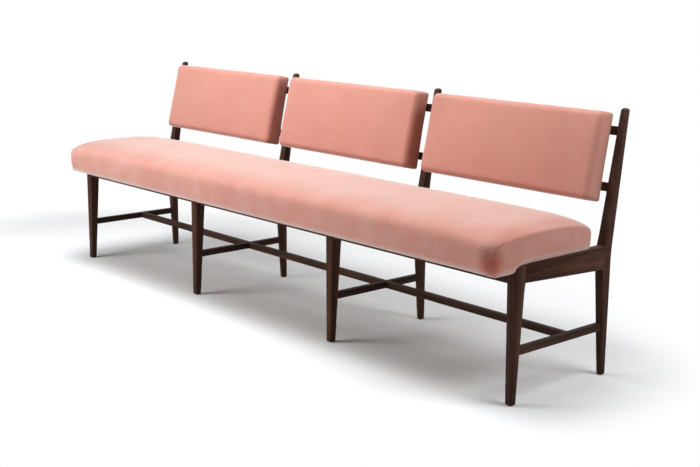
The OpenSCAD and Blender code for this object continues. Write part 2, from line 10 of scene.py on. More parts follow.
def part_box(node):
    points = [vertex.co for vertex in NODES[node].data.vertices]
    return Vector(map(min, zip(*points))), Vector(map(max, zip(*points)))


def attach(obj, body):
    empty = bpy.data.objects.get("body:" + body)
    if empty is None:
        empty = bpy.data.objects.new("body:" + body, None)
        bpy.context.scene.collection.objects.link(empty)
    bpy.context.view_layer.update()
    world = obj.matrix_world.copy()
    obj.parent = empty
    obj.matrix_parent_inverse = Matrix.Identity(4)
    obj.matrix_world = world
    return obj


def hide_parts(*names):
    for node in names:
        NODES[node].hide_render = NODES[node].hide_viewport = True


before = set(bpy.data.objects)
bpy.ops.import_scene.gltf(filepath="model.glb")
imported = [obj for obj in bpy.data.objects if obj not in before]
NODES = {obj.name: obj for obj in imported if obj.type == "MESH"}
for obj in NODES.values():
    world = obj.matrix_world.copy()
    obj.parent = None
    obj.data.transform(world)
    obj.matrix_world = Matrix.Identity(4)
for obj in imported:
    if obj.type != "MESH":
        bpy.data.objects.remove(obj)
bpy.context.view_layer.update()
FRAMES = (1, 2, 3, 4)
BAYS = (1, 2, 3)
END_LEGS = ("front_leg_1", "front_leg_4")

# Camera of the photograph, fitted to the bench's edges
CAMERA_PLACE = (3.2865, -2.6903, 1.1950)
CAMERA_AZIMUTH = 48.342
CAMERA_ELEVATION = 9.762
CAMERA_ROLL = 0.589
CAMERA_LENS = 61.555
CAMERA_SHIFT_Y = -0.07297

# Colours, linear
CORAL = (0.590, 0.268, 0.214)
CORAL_LIGHT = (0.612, 0.280, 0.225)
CORAL_DEEP = (0.566, 0.252, 0.200)
# Painted sheen: the pile is painted paler in a narrow band along the seat's lower edge, where the floor's
# light catches it
CORAL_PAINTED_SHEEN = (0.620, 0.420, 0.390)
PAINTED_SHEEN_RISE = 0.024
# Paler strokes over the seat's pile, and how strong they are
CORAL_BRUSHED = (0.640, 0.440, 0.400)
BRUSHED_SHARE = 0.22
# Painted shade: the pile is painted deeper in colour in the dents at the seat's front corners, where shade
# falls. The place is that of its
# middle: from the seat's end, from its front and over its lower edge
CORAL_PAINTED_SHADE = (0.500, 0.135, 0.095)
PAINTED_SHADE_R = 0.056
PAINTED_SHADE_PLACE = (0.016, 0.014, 0.035)
PILE_SHEEN = (1.0, 1.0, 0.97)
WALNUT = (0.072, 0.034, 0.023)
WALNUT_LIGHT = (0.115, 0.052, 0.034)
WALNUT_DARK = (0.036, 0.018, 0.013)
WALNUT_ROUGHNESS = 0.54
WOOD_GLOSS = 0.04
# Painted shade: the stretchers, low under the seat where less light reaches, are painted a darker, cooler
# brown than the rest
STRETCHER_PAINTED_SHADE = (0.72, 0.80, 0.86)
THREAD_LIGHT = (0.52, 0.13, 0.09)
THREAD_DARK = (0.30, 0.07, 0.05)
BEECH = (0.52, 0.33, 0.19)
BEECH_DARK = (0.40, 0.23, 0.12)
BIRCH = (0.60, 0.44, 0.27)
BIRCH_DARK = (0.46, 0.30, 0.16)
ZINC_LIGHT = (0.62, 0.61, 0.58)
ZINC_DARK = (0.46, 0.46, 0.48)
FELT_LIGHT = (0.045, 0.045, 0.045)
FELT_DARK = (0.012, 0.012, 0.012)
PAPER = (0.80, 0.80, 0.80)
LIT_PAPER = (0.935, 0.955, 0.97)

# Area lights: place, target, size and power, and the level of the light all round
LAMPS = {
    "top": ((-0.4, -0.5, 3.0), (0, 0, 0.3), (1.6, 1.2), 86),
    "left": ((-1.4, -2.6, 1.4), (-0.4, 0, 0.6), (1.6, 1.2), 60),
    "right": ((3.6, 0.2, 1.2), (0.4, 0, 0.5), (2.0, 1.6), 9),
    "right_near": ((2.1, 0.4, 1.9), (1.1, 0.1, 0.6), (0.9, 0.9), 20),
    "back": ((0.0, 2.0, 2.8), (0, 0, 0.4), (3.0, 1.6), 14),
}
WORLD_LEVEL = 0.03

# The floor reaches this far from the origin. It turns plain white at these distances along x and y from a
# middle, between these shares of them
FLOOR_HALF = 14.0
WHITE_FROM = (2.1, 1.3)
WHITE_MIDDLE = (-0.35, 0.0)
WHITE_SHARES = (0.74, 0.90)

# Rounding of the timber's edges
LEG_EDGE = 0.0028
POST_EDGE = 0.0030
RAIL_EDGE = 0.0025
STRETCHER_EDGE = 0.0015
FOOT_EDGE = 0.0018
LEG_TOP_RUN = 0.020
POST_TOP_RUN = 0.0085
BLOCK_EDGE = 0.001
# At a side rail an edge is left nearly sharp, and gets its rounding over this run above and below it
JOINT_EDGE = 0.0005
JOINT_RUN = 0.035
# Heights between the sections of an upright, in general and near its rail, and the run below the rail's top
# where they are close
SECTION_STEP = 0.030
JOINT_STEP = 0.006
JOINT_DEPTH = 0.110
CLOSEST_STEP = 0.0015
TOP_STEPS = 14

# The seat, apart from what its CAD node's box gives
RAIL_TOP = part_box("side_rail_1")[1].z
LEG_FACE_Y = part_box("front_leg_1")[0].y
LEG_W = 0.035
# The front of each end leg's top is rounded over, from this height up to the rail's top
LEG_CREST_Z = RAIL_TOP - 0.018
LEG_CREST_RUN = 0.036
# How far the cloth keeps off the timber and off that crest, and how near the end it follows the crest
CLOTH_GAP = 0.0004
CREST_GAP = 0.0008
CREST_REACH = LEG_W + 0.010
CREST_BLEND = 0.008
SEAT_LOW, SEAT_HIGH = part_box("seat_cover")
NOSING_FRONT_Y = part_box("seat_nosing")[0].y
SEAT_BELLY = RAIL_TOP + 0.046
SEAT_FRONT_TUCK = 0.013
SEAT_BACK_TUCK = 0.005
SEAT_FRONT_CORNER = 0.060
# The corners over the lip at the left and at the right end. The photograph shows the left one rounder
SEAT_LIP_CORNERS = (0.062, 0.005)
SEAT_REAR_CORNER = 0.020
SEAT_END_DROP = 0.022
SEAT_END_RUN = 0.130
SEAT_SQUARENESS = 3.8
SEAT_END_SQUARENESS = 2.5
SEAT_SQUARE_RUN = 0.320
SEAT_LIP_Y = LEG_FACE_Y - 0.012
SEAT_LIP_RISE = 0.0015
SEAT_LIP_BACK_RUN = 0.010
SEAT_END_TUCK = 0.0010
SEAT_END_TUCK_H = 0.030
SEAT_HEM = 0.009
SEAT_SWELL = 0.003
# The cloth is held up to these heights over the rails and over the lip's lower edge
SEAT_HELD_H = 0.006
LIP_HELD_H = 0.010
# The folds and dents at the front corners. Tops and feet are a distance from the seat's end and a height. A
# span gives where each starts and how long it takes to, and where it ends and how long that takes, in shares
# of the way from top to foot
FOLD_TOP = (0.009, SEAT_HIGH.z - 0.042)
FOLD_FOOT = (0.019, SEAT_HIGH.z - 0.064)
FOLD_DEPTH = 0.0040
FOLD_W = 0.0030
FOLD_LIP = 0.0015
FOLD_LIP_W = 0.009
FOLD_SPAN = (-0.4, 0.5, 1.8, 1.0)
DENT_TOP = (0.019, SEAT_HIGH.z - 0.032)
DENT_FOOT = (0.004, SEAT_LOW.z + 0.018)
DENT_DEPTH = 0.0050
DENT_RUN = 0.036
DENT_SPAN = (0.35, 0.6, 1.3, 0.3)
# Outside these shares of the way their lines run on upright
LINE_ENDS = (-0.4, 1.2)
# How far they reach from the seat's front and end, and how much nearer the left end those at the left lie
FOLD_REACH = 0.085
FOLD_END_REACH = 0.140
FOLD_LEFT_SHARE = 0.3

# The back cushions, in their own leaning frame: x along, y out of the back, z up the back
CUSHION_H = 0.277
CUSHION_BOTTOM_T = 0.073
CUSHION_TOP_T = 0.062
CUSHION_CROWN = 0.006
CUSHION_DRAW_IN = 0.002
CUSHION_FRONT_R = 0.020
CUSHION_REAR_R = 0.008
CUSHION_SWELL = 0.0025
# The cloth is held up to this distance from the cushion's back
CUSHION_HELD_T = 1.5 * CUSHION_REAR_R
BACK_LEAN = math.radians(11.2)
LEAN = Matrix.Rotation(-BACK_LEAN, 3, "X")

# The linings: the folded hem, the puckers that its stitches draw, and the stitches
HEM_W = 0.008
HEM_FOLD = 0.0015
HEM_RISE = 0.0007
HEM_SINK_SHARE = 0.75
PUCKER = 0.0004
PUCKER_W = 0.010
STITCH_PITCH = 0.012
STITCH_R = 0.0004
STITCH_IN = 0.0026
STITCH_OUT = 0.0012
STITCH_SLANT = 0.0012
STITCH_ARCH = 0.0009
STITCH_SINK = 0.0003

# The screws: head, shank, cross recess and thread
HEAD_R = 0.004
HEAD_H = 0.0024
HEAD_CROWN = 0.0002
HEAD_DOME_H = 0.45 * HEAD_H
HEAD_SIDE_H = 0.7 * HEAD_H
SHANK_R = 0.002
TIP_R = 0.0005
CROSS_L = 0.0023
CROSS_W = 0.0007
CROSS_DEPTH = 0.0013
THREAD_PITCH = 0.0014
THREAD_ROOT_R = 0.78 * SHANK_R

# The padding's unevenness: its height and scale, and the rise over which it grows to that height
SEAT_RIPPLE = (0.0009, 7.0)
CUSHION_RIPPLE = (0.0006, 11.0)
RIPPLE_RISE = 0.024

# The swelling of the cloths: how hard, for how many steps, and how often it is averaged between neighbours
CLOTH_PRESSURE = 4.0
CLOTH_STEPS = 20
EASE_ROUNDS = 24


def lerp(a, b, t):
    return a + (b - a) * t


def pull(distance, radius):
    """How far a rounded edge is drawn in at a distance from the face that it leaves."""
    if distance >= radius:
        return 0.0
    return radius - math.sqrt(radius * radius - (radius - distance) ** 2)


def smooth(t):
    """0 up to t = 0, 1 from t = 1 on, and smooth between."""
    t = min(1.0, max(0.0, t))
    return t * t * (3 - 2 * t)


def bell(distance, width):
    return math.exp(-(distance / width) ** 2)


def within(t, span):
    """1 between a start and an end, with a rise at the start and a fall at the end."""
    start, rise, end, fall = span
    return smooth((t - start) / rise) * smooth((end - t) / fall)


# Materials

def new_material(name):
    material = bpy.data.materials.new(name)
    material.use_nodes = True
    tree = material.node_tree
    return material, tree, tree.nodes["Principled BSDF"]


def set_inputs(tree, node, inputs):
    """Gives a node's inputs their values, or links them where the value is another node's output."""
    for key, value in inputs.items():
        if isinstance(value, bpy.types.NodeSocket):
            tree.links.new(value, node.inputs[key])
        else:
            node.inputs[key].default_value = value


def add_node(tree, kind, inputs=None, **settings):
    node = tree.nodes.new(kind)
    for key, value in settings.items():
        setattr(node, key, value)
    set_inputs(tree, node, inputs or {})
    return node


def own_place(tree):
    """The place in the piece's own coordinates, which for the parts made here are the frame's."""
    return add_node(tree, "ShaderNodeTexCoord").outputs["Object"]


def coordinates(tree, stretch=(1, 1, 1), turn=(0, 0, 0)):
    """That place, scaled by axis and turned."""
    mapping = add_node(tree, "ShaderNodeMapping", {
        "Vector": own_place(tree), "Scale": stretch, "Rotation": turn})
    return mapping.outputs[0]


def noise_value(tree, vector, scale, detail=3.0, roughness=0.5, distortion=0.0):
    return add_node(tree, "ShaderNodeTexNoise", {
        "Vector": vector, "Scale": scale, "Detail": detail, "Roughness": roughness, "Distortion": distortion,
    }).outputs["Fac"]


def ramp(tree, value, stops):
    node = add_node(tree, "ShaderNodeValToRGB", {"Fac": value})
    elements = node.color_ramp.elements
    while len(elements) < len(stops):
        elements.new(0.5)
    for element, (place, colour) in zip(elements, stops):
        element.position = place
        element.color = (*colour, 1)
    return node.outputs["Color"]


def grey(value):
    return (value, value, value)


def mix_colour(tree, a, b, factor, blend="MIX"):
    a, b = (value if isinstance(value, bpy.types.NodeSocket) else (*value, 1) for value in (a, b))
    mix = add_node(tree, "ShaderNodeMix", {0: factor, 6: a, 7: b}, data_type="RGBA", blend_type=blend)
    return mix.outputs[2]


def add_bump(tree, shader, height, distance, strength):
    bump = add_node(tree, "ShaderNodeBump", {"Height": height, "Distance": distance, "Strength": strength})
    tree.links.new(bump.outputs[0], shader.inputs["Normal"])


def height_over_hem(tree):
    """The height above the seat's lower edge, which lies lower along the front, before the legs."""
    place = add_node(tree, "ShaderNodeSeparateXYZ", {0: own_place(tree)})
    hem = add_node(tree, "ShaderNodeMapRange", {
        "Value": place.outputs["Y"], "To Min": SEAT_LOW.z, "To Max": RAIL_TOP,
        "From Min": SEAT_LIP_Y, "From Max": LEG_FACE_Y + LEG_CREST_RUN,
    })
    return add_node(tree, "ShaderNodeMath", {
        0: place.outputs["Z"], 1: hem.outputs[0]}, operation="SUBTRACT").outputs[0]


def distance_to_fold(tree):
    """The distance to the middle of the dent in the nearer front corner."""
    place = add_node(tree, "ShaderNodeVectorMath", {0: own_place(tree)}, operation="ABSOLUTE")
    dent = (SEAT_HIGH.x - PAINTED_SHADE_PLACE[0], -SEAT_LOW.y - PAINTED_SHADE_PLACE[1], SEAT_LOW.z + PAINTED_SHADE_PLACE[2])
    distance = add_node(tree, "ShaderNodeVectorMath", {0: place.outputs[0], 1: dent}, operation="DISTANCE")
    return distance.outputs["Value"]


def make_velvet(name, nap_and_painted_light=False):
    """Cut-pile velvet: a soft nap that lies this way and that, fine fibres and a pale sheen."""
    material, tree, shader = new_material(name)
    place = coordinates(tree)
    nap = noise_value(tree, place, 5.5, 3.0, 0.55, 0.6)
    strokes = noise_value(tree, coordinates(tree, (3.0, 14.0, 14.0), (0.2, 0.3, 0.4)), 2.0, 4.0, 0.6, 0.8)
    colour = ramp(tree, nap, [(0.30, CORAL_DEEP), (0.50, CORAL), (0.72, CORAL_LIGHT)])
    streaks = ramp(tree, strokes, [(0.35, grey(0.97)), (0.65, grey(1.0))])
    fibres = noise_value(tree, place, 2600.0, 2.0, 0.6)
    pile = ramp(tree, fibres, [(0.3, grey(0.88)), (0.7, grey(1.0))])
    if nap_and_painted_light:
        brushed = noise_value(tree, coordinates(tree, (13.0, 4.0, 10.0)), 1.0, 2.0, 0.5, 0.3)
        share = ramp(tree, brushed, [(0.40, grey(0.0)), (0.66, grey(BRUSHED_SHARE))])
        colour = mix_colour(tree, colour, CORAL_BRUSHED, share)
        # Painted light on the seat: a painted sheen, paler along the lower edge, and painted shade, deeper in
        # the dents at the front corners
        for value, start, tone in ((height_over_hem(tree), PAINTED_SHEEN_RISE, CORAL_PAINTED_SHEEN),
                                   (distance_to_fold(tree), PAINTED_SHADE_R, CORAL_PAINTED_SHADE)):
            share = add_node(tree, "ShaderNodeMapRange", {
                "Value": value, "From Min": start, "From Max": 0.0}, interpolation_type="SMOOTHSTEP")
            colour = mix_colour(tree, colour, tone, share.outputs[0])
    colour = mix_colour(tree, colour, streaks, 1.0, "MULTIPLY")
    colour = mix_colour(tree, colour, pile, 1.0, "MULTIPLY")
    set_inputs(tree, shader, {
        "Base Color": colour, "Roughness": 0.9, "Specular IOR Level": 0.05,
        "Sheen Weight": 1.0, "Sheen Roughness": 0.36, "Sheen Tint": (*PILE_SHEEN, 1),
    })
    soft = noise_value(tree, place, 90.0, 3.0, 0.6)
    height = add_node(tree, "ShaderNodeMix", {0: 0.4, 2: fibres, 3: soft}).outputs[0]
    add_bump(tree, shader, height, 0.0004, 0.35)
    return material


def make_wood(name, along, light, middle, dark, roughness):
    """Straight-grained timber, with its grain along the axis given as 0, 1 or 2."""
    material, tree, shader = new_material(name)

    def grain(across_scale, along_scale, *noise_settings):
        stretch = [across_scale] * 3
        stretch[along] = along_scale
        return noise_value(tree, coordinates(tree, stretch), 1.0, *noise_settings)

    growth = grain(26.0, 1.6, 4.0, 0.55, 1.1)
    pores = grain(420.0, 9.0, 2.0, 0.6)
    fine = grain(120.0, 2.5, 3.0, 0.6)
    colour = ramp(tree, growth, [(0.30, dark), (0.52, middle), (0.74, light)])
    shade = ramp(tree, fine, [(0.3, grey(0.74)), (0.7, grey(1.12))])
    colour = mix_colour(tree, colour, shade, 1.0, "MULTIPLY")
    pits = ramp(tree, pores, [(0.36, grey(0.45)), (0.46, grey(1.0))])
    colour = mix_colour(tree, colour, pits, 0.7, "MULTIPLY")
    finish = ramp(tree, fine, [(0.2, grey(roughness - 0.06)), (0.8, grey(roughness + 0.08))])
    set_inputs(tree, shader, {"Base Color": colour, "Roughness": finish, "Specular IOR Level": WOOD_GLOSS})
    add_bump(tree, shader, pits, 0.00012, 0.5)
    return material


def make_plywood(name):
    """Birch plywood: its layers show as stripes on an edge."""
    material, tree, shader = new_material(name)
    faces = noise_value(tree, coordinates(tree, (2.0, 34.0, 34.0)), 1.0, 4.0, 0.6, 0.9)
    layers = add_node(tree, "ShaderNodeTexWave", {
        "Vector": coordinates(tree), "Scale": 107.0, "Distortion": 0.3, "Detail": 1.0,
    }, bands_direction="Z")
    colour = ramp(tree, faces, [(0.3, BIRCH_DARK), (0.65, BIRCH)])
    stripes = ramp(tree, layers.outputs["Fac"], [(0.35, grey(0.72)), (0.6, grey(1.0))])
    colour = mix_colour(tree, colour, stripes, 0.6, "MULTIPLY")
    set_inputs(tree, shader, {"Base Color": colour, "Roughness": 0.68})
    add_bump(tree, shader, faces, 0.0002, 0.4)
    return material


def make_steel(name):
    """Zinc-plated steel with faint machining marks and a dull bloom."""
    material, tree, shader = new_material(name)
    place = coordinates(tree)
    bloom = noise_value(tree, place, 220.0, 3.0, 0.6)
    colour = ramp(tree, bloom, [(0.3, ZINC_DARK), (0.7, ZINC_LIGHT)])
    finish = ramp(tree, bloom, [(0.3, grey(0.28)), (0.7, grey(0.46))])
    set_inputs(tree, shader, {"Base Color": colour, "Roughness": finish, "Metallic": 1.0})
    add_bump(tree, shader, noise_value(tree, place, 1800.0, 2.0), 0.00005, 0.5)
    return material


def make_felt(name):
    """Dense black wool felt."""
    material, tree, shader = new_material(name)
    hairs = noise_value(tree, coordinates(tree), 1400.0, 4.0, 0.7, 1.5)
    colour = ramp(tree, hairs, [(0.3, FELT_DARK), (0.7, FELT_LIGHT)])
    set_inputs(tree, shader, {"Base Color": colour, "Roughness": 0.95, "Sheen Weight": 0.3})
    add_bump(tree, shader, hairs, 0.0004, 0.8)
    return material


def make_thread(name):
    """Twisted polyester thread a shade darker than the velvet."""
    material, tree, shader = new_material(name)
    place = coordinates(tree, turn=(0.5, 0.6, 0.4))
    twist = add_node(tree, "ShaderNodeTexWave", {
        "Vector": place, "Scale": 420.0, "Distortion": 1.5, "Detail": 2.0,
    })
    colour = ramp(tree, twist.outputs["Fac"], [(0.2, THREAD_DARK), (0.8, THREAD_LIGHT)])
    set_inputs(tree, shader, {"Base Color": colour, "Roughness": 0.55})
    add_bump(tree, shader, twist.outputs["Fac"], 0.0001, 0.6)
    return material


VELVET = make_velvet("velvet")
SEAT_VELVET = make_velvet("velvet_seat", nap_and_painted_light=True)
BROWNS = (WALNUT_LIGHT, WALNUT, WALNUT_DARK)
WALNUT_X, WALNUT_Y, WALNUT_Z = (
    make_wood(f"walnut_along_{axis}", k, *BROWNS, WALNUT_ROUGHNESS)
    for k, axis in enumerate("xyz"))
# The stretchers' walnut, darkened as painted shade
PAINTED_SHADE_BROWNS = [[c * s for c, s in zip(brown, STRETCHER_PAINTED_SHADE)] for brown in BROWNS]
STRETCHER_X, STRETCHER_Y = (
    make_wood(f"stretcher_shaded_along_{axis}", k, *PAINTED_SHADE_BROWNS, WALNUT_ROUGHNESS)
    for k, axis in enumerate("xy"))
PALE_WOOD = make_wood("beech", 0, BEECH, BEECH, BEECH_DARK, 0.62)
PLYWOOD = make_plywood("plywood")
STEEL = make_steel("steel")
FELT = make_felt("felt")
THREAD = make_thread("thread")


# Meshes

def make_piece(name, points, faces, material, stands_for):
    """A smooth piece on the body "root" that stands for the named CAD nodes."""
    mesh = bpy.data.meshes.new(name)
    mesh.from_pydata([tuple(p) for p in points], [], faces)
    mesh.update()
    mesh.polygons.foreach_set("use_smooth", [True] * len(mesh.polygons))
    mesh.materials.append(material)
    piece = bpy.data.objects.new(name, mesh)
    bpy.context.scene.collection.objects.link(piece)
    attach(piece, "root")
    if stands_for:
        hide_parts(*stands_for)
    return piece


def rows_of_faces(rows, columns, closed=False):
    """Quads between rows of points that follow each other in one list."""
    last = columns if closed else columns - 1
    return [(r * columns + c, r * columns + (c + 1) % columns,
             (r + 1) * columns + (c + 1) % columns, (r + 1) * columns + c)
            for r in range(rows - 1) for c in range(last)]


def subdivide(piece):
    """Divides each face into four and smooths the shape."""
    modifier = piece.modifiers.new("smooth", "SUBSURF")
    modifier.levels = modifier.render_levels = 1
    apply_modifiers(piece)


def apply_modifiers(piece):
    """Bakes a piece's modifiers into its mesh."""
    graph = bpy.context.evaluated_depsgraph_get()
    baked = bpy.data.meshes.new_from_object(piece.evaluated_get(graph), depsgraph=graph)
    old = piece.data
    piece.modifiers.clear()
    piece.data = baked
    bpy.data.meshes.remove(old)


def inflate(piece, held, cap):
    """Swells a piece as stretched cloth. Held points stay, and the others move out by less than the cap."""
    group = piece.vertex_groups.new(name="held")
    group.add(held, 1.0, "REPLACE")
    cloth = piece.modifiers.new("swell", "CLOTH")
    cloth.settings.quality = 4
    cloth.settings.use_pressure = True
    cloth.settings.uniform_pressure_force = CLOTH_PRESSURE
    cloth.settings.vertex_group_mass = "held"
    cloth.settings.effector_weights.gravity = 0
    scene = bpy.context.scene
    for step in range(1, CLOTH_STEPS + 1):
        scene.frame_set(step)
    swollen = piece.evaluated_get(bpy.context.evaluated_depsgraph_get()).data
    count = len(piece.data.vertices)
    start, end, normal = (np.zeros(count * 3) for _ in range(3))
    piece.data.vertices.foreach_get("co", start)
    swollen.vertices.foreach_get("co", end)
    piece.data.vertices.foreach_get("normal", normal)
    start, end, normal = (values.reshape(-1, 3) for values in (start, end, normal))
    # The padding under the cloth keeps it from sinking in
    out = np.maximum(((end - start) * normal).sum(1), 0)
    out *= cap / np.sqrt(cap * cap + out * out)
    edges = np.array([edge.vertices[:] for edge in piece.data.edges])
    ends = edges.ravel()
    others = edges[:, ::-1].ravel()
    shared = np.bincount(ends, minlength=count)
    for _ in range(EASE_ROUNDS):
        out = np.bincount(ends, weights=out[others], minlength=count) / shared
        out[held] = 0
    move = normal * out[:, None]
    piece.modifiers.clear()
    piece.vertex_groups.clear()
    piece.data.vertices.foreach_set("co", (start + move).ravel())
    piece.data.update()
    scene.frame_set(1)


def even(points, count):
    """The same line with a number of evenly spaced points."""
    points = np.asarray(points, float)
    steps = np.r_[0, np.cumsum(np.linalg.norm(np.diff(points, axis=0), axis=1))]
    at = np.linspace(0, steps[-1], count)
    return np.stack([np.interp(at, steps, points[:, k]) for k in range(points.shape[1])], 1)


def solid_points(node):
    """The points of each separate solid of a CAD node."""
    shape = bmesh.new()
    shape.from_mesh(NODES[node].data)
    bmesh.ops.remove_doubles(shape, verts=shape.verts, dist=1e-6)
    left = set(shape.verts)
    solids = []
    for first in shape.verts:
        if first not in left:
            continue
        left.remove(first)
        solid, ends = [first.co.copy()], [first]
        while ends:
            for edge in ends.pop().link_edges:
                for vertex in edge.verts:
                    if vertex in left:
                        left.remove(vertex)
                        solid.append(vertex.co.copy())
                        ends.append(vertex)
        solids.append(solid)
    shape.free()
    return solids


def face_outward(piece):
    shape = bmesh.new()
    shape.from_mesh(piece.data)
    bmesh.ops.recalc_face_normals(shape, faces=shape.faces)
    shape.to_mesh(piece.data)
    shape.free()


# Timber

def slicer(node, axis):
    """A function that gives a node's lowest and highest corner at a place along an axis, and its levels."""
    mesh = NODES[node].data
    points = np.array([v.co[:] for v in mesh.vertices])
    ends = np.array([e.vertices[:] for e in mesh.edges])
    a, b = points[ends[:, 0]], points[ends[:, 1]]
    rise = b[:, axis] - a[:, axis]
    sloping = abs(rise) > 1e-7
    across = [k for k in range(3) if k != axis]

    def at(place):
        t = (place - a[sloping, axis]) / rise[sloping]
        hit = (t >= 0) & (t <= 1)
        start, run = a[sloping][hit][:, across], (b - a)[sloping][hit][:, across]
        cut = start + run * t[hit, None]
        return cut.min(0), cut.max(0)

    return at, np.unique(points[:, axis].round(5))


def rounded_ring(low, high, radii, inset=0.0):
    """A rectangle's outline with its corners rounded, in turn from the one that is highest on both axes."""
    x0, y0 = low[0] + inset, low[1] + inset
    x1, y1 = high[0] - inset, high[1] - inset
    most = 0.48 * min(x1 - x0, y1 - y0)
    steps = 5
    ring = []
    corners = ((x1, y1, 1, 1), (x0, y1, -1, 1), (x0, y0, -1, -1), (x1, y0, 1, -1))
    for turn, (x, y, side_x, side_y) in enumerate(corners):
        r = max(min(radii[turn], most), 1e-5)
        for k in range(steps + 1):
            angle = math.radians(90 * turn + 90 * k / steps)
            ring.append((x - side_x * r + r * math.cos(angle), y - side_y * r + r * math.sin(angle)))
    return ring


def loft(name, rings, axis, material, node):
    """A closed piece through rings, each given as a place along the axis and its outline."""
    points = [point[:axis] + (place,) + point[axis:] for place, ring in rings for point in ring]
    columns = len(rings[0][1])
    faces = rows_of_faces(len(rings), columns, closed=True)
    last = (len(rings) - 1) * columns
    faces.append(tuple(reversed(range(columns))))
    faces.append(tuple(range(last, last + columns)))
    piece = make_piece(name, points, faces, material, [node])
    face_outward(piece)
    for polygon in piece.data.polygons[-2:]:
        polygon.use_smooth = False


def rail_foot_at(y):
    """The height of a side rail's lower edge at a place along it."""
    return RAIL_AT(y)[0][1]


def make_upright(node, edge, top_run, rail_behind):
    """A tapered leg or post with rounded edges, lofted through the sections of its CAD node."""
    at, levels = slicer(node, 2)
    low_z, top_z = levels[0], levels[-1]
    heights = [z for z in levels if low_z + FOOT_EDGE < z < top_z - top_run]
    heights += list(np.arange(low_z + SECTION_STEP, top_z - top_run, SECTION_STEP))
    close = np.arange(RAIL_TOP - JOINT_DEPTH, RAIL_TOP + JOINT_RUN, JOINT_STEP)
    heights += [z for z in close if z < top_z - top_run]
    heights += [top_z - top_run * (1 - s / TOP_STEPS) ** 2 for s in range(TOP_STEPS)] + [top_z - 0.00005]
    kept = []
    for z in sorted(heights):
        if not kept or z - kept[-1] > CLOSEST_STEP or z > top_z - top_run:
            kept.append(z)
    low, high = at(RAIL_TOP - 0.001)
    rail_foot = rail_foot_at(high[1] if rail_behind else low[1])

    def radii(z):
        away = max(rail_foot - z, z - RAIL_TOP) / JOINT_RUN
        at_rail = lerp(JOINT_EDGE, edge, smooth(away))
        rear, front = (at_rail, edge) if rail_behind else (edge, at_rail)
        return rear, rear, front, front

    def section(z):
        low, high = at(z)
        if node in END_LEGS and z > LEG_CREST_Z:
            low[1] = max(low[1], leg_top_y((z - LEG_CREST_Z) / (RAIL_TOP - LEG_CREST_Z)))
        return low, high

    rings = []
    for s in range(5):
        angle = math.radians(90 * s / 4)
        inset = FOOT_EDGE * (1 - math.sin(angle))
        z = low_z + FOOT_EDGE * (1 - math.cos(angle))
        rings.append((z, rounded_ring(*section(low_z + FOOT_EDGE), radii(z), inset)))
    rings += [(z, rounded_ring(*section(z), radii(z))) for z in kept]
    loft(node + "_shaped", rings, 2, WALNUT_Z, node)


def make_side_rail(node):
    """A side rail with rounded long edges and its tenons, lofted through the sections of its CAD node."""
    at, levels = slicer(node, 1)
    rings = []
    for start, end in zip(levels, levels[1:]):
        inside = [start + 0.00001, end - 0.00001] if end - start > 0.0001 else []
        rings += [(y, rounded_ring(*at(y), [RAIL_EDGE] * 4)) for y in inside]
    loft(node + "_shaped", rings, 1, WALNUT_Y, node)


def cross_reach(turn):
    """How far a cross recess reaches from its middle, at an angle in degrees."""
    off = math.radians(abs((turn + 45) % 90 - 45))
    if math.tan(off) <= CROSS_W / CROSS_L:
        return CROSS_L / math.cos(off)
    return CROSS_W / math.sin(off)


def screw_rings(length):
    """A pan-head screw's outline: for each ring its depth under the head's top and its reach at an angle."""
    def even_reach(r):
        return lambda turn: r

    def between_reach(t):
        return lambda turn: lerp(cross_reach(turn), HEAD_R * 0.98, t)

    rings = [(CROSS_DEPTH, lambda turn: 0.8 * cross_reach(turn)), (HEAD_CROWN, cross_reach)]
    rings += [(HEAD_CROWN + HEAD_DOME_H * (s / 6) ** 2.5, between_reach(s / 6)) for s in range(1, 7)]
    rings.append((HEAD_SIDE_H, even_reach(HEAD_R)))
    rings += [(HEAD_H, even_reach(HEAD_R * 0.97)), (HEAD_H, even_reach(SHANK_R))]
    depth = HEAD_H + THREAD_PITCH
    while depth < length - 2 * THREAD_PITCH:
        rings += [(depth, even_reach(THREAD_ROOT_R)), (depth + THREAD_PITCH / 2, even_reach(SHANK_R))]
        depth += THREAD_PITCH
    rings.append((length - 0.0001, even_reach(TIP_R)))
    return rings


def make_screws(node, way):
    """Pan-head screws, one for each solid of a CAD node. The way is the one in which they are driven."""
    side = way.orthogonal().normalized()
    other = way.cross(side)
    turns = range(0, 360, 15)
    points, faces = [], []
    for solid in solid_points(node):
        along = [p.dot(way) for p in solid]
        middle = way * min(along)
        for axis in (side, other):
            spread = [p.dot(axis) for p in solid]
            middle += axis * (min(spread) + max(spread)) / 2
        rings = screw_rings(max(along) - min(along))
        first = len(points)
        for depth, reach in rings:
            for turn in turns:
                angle, r = math.radians(turn), reach(turn)
                across = side * (r * math.cos(angle)), other * (r * math.sin(angle))
                points.append(middle + way * depth + across[0] + across[1])
        quads = rows_of_faces(len(rings), len(turns), closed=True)
        faces += [tuple(first + n for n in face) for face in quads]
        faces.append(tuple(first + n for n in range(len(turns))))
        faces.append(tuple(len(points) - 1 - n for n in range(len(turns))))
    screws = make_piece(node + "_cut", points, faces, STEEL, [node])
    face_outward(screws)


# Seat

def leg_top_y(rise):
    """Where an end leg's front lies as it rounds over, at a share of the way up to its top."""
    return LEG_FACE_Y + LEG_CREST_RUN * (1 - math.sqrt(max(0, 1 - rise * rise)))


